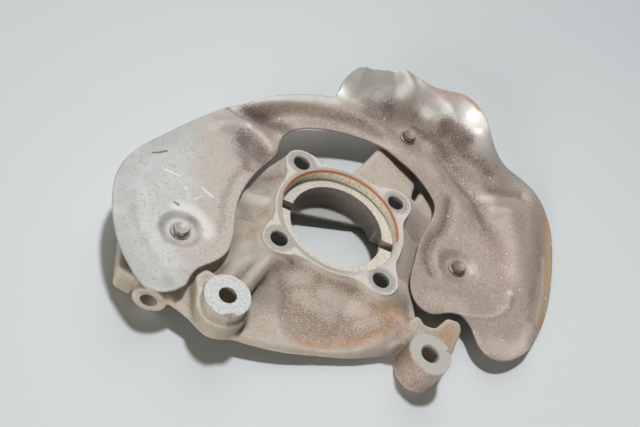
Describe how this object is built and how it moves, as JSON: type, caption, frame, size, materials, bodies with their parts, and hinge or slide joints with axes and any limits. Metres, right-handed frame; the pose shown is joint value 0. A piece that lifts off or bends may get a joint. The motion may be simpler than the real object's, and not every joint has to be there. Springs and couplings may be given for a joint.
{
  "type": "steering knuckle with brake dust shield",
  "caption": "Cast aluminium steering knuckle with a machined hub seat, caliper bosses and a link eye, and a pressed brake dust shield held by flange bolts.",
  "frame": {"origin": "centre of the hub bore on the machined outboard face", "axes": "+Z outboard along the bore axis, +Y towards the upper arm, +X towards the right-hand caliper boss"},
  "size_m": [0.3472, 0.305, 0.0575],
  "materials": {
    "cast_aluminium": "weathered casting with road dirt, machined faces bare",
    "sheet_aluminium": "dull pressed sheet with brown brake dirt",
    "plated_steel": "dull plated and dirty"
  },
  "bodies": {
    "root": {"steering_knuckle": "cast_aluminium", "dust_shield": "sheet_aluminium", "left_shield_bolt": "plated_steel", "upper_shield_bolt": "plated_steel", "right_shield_bolt": "plated_steel"}
  },
  "joints": []
}
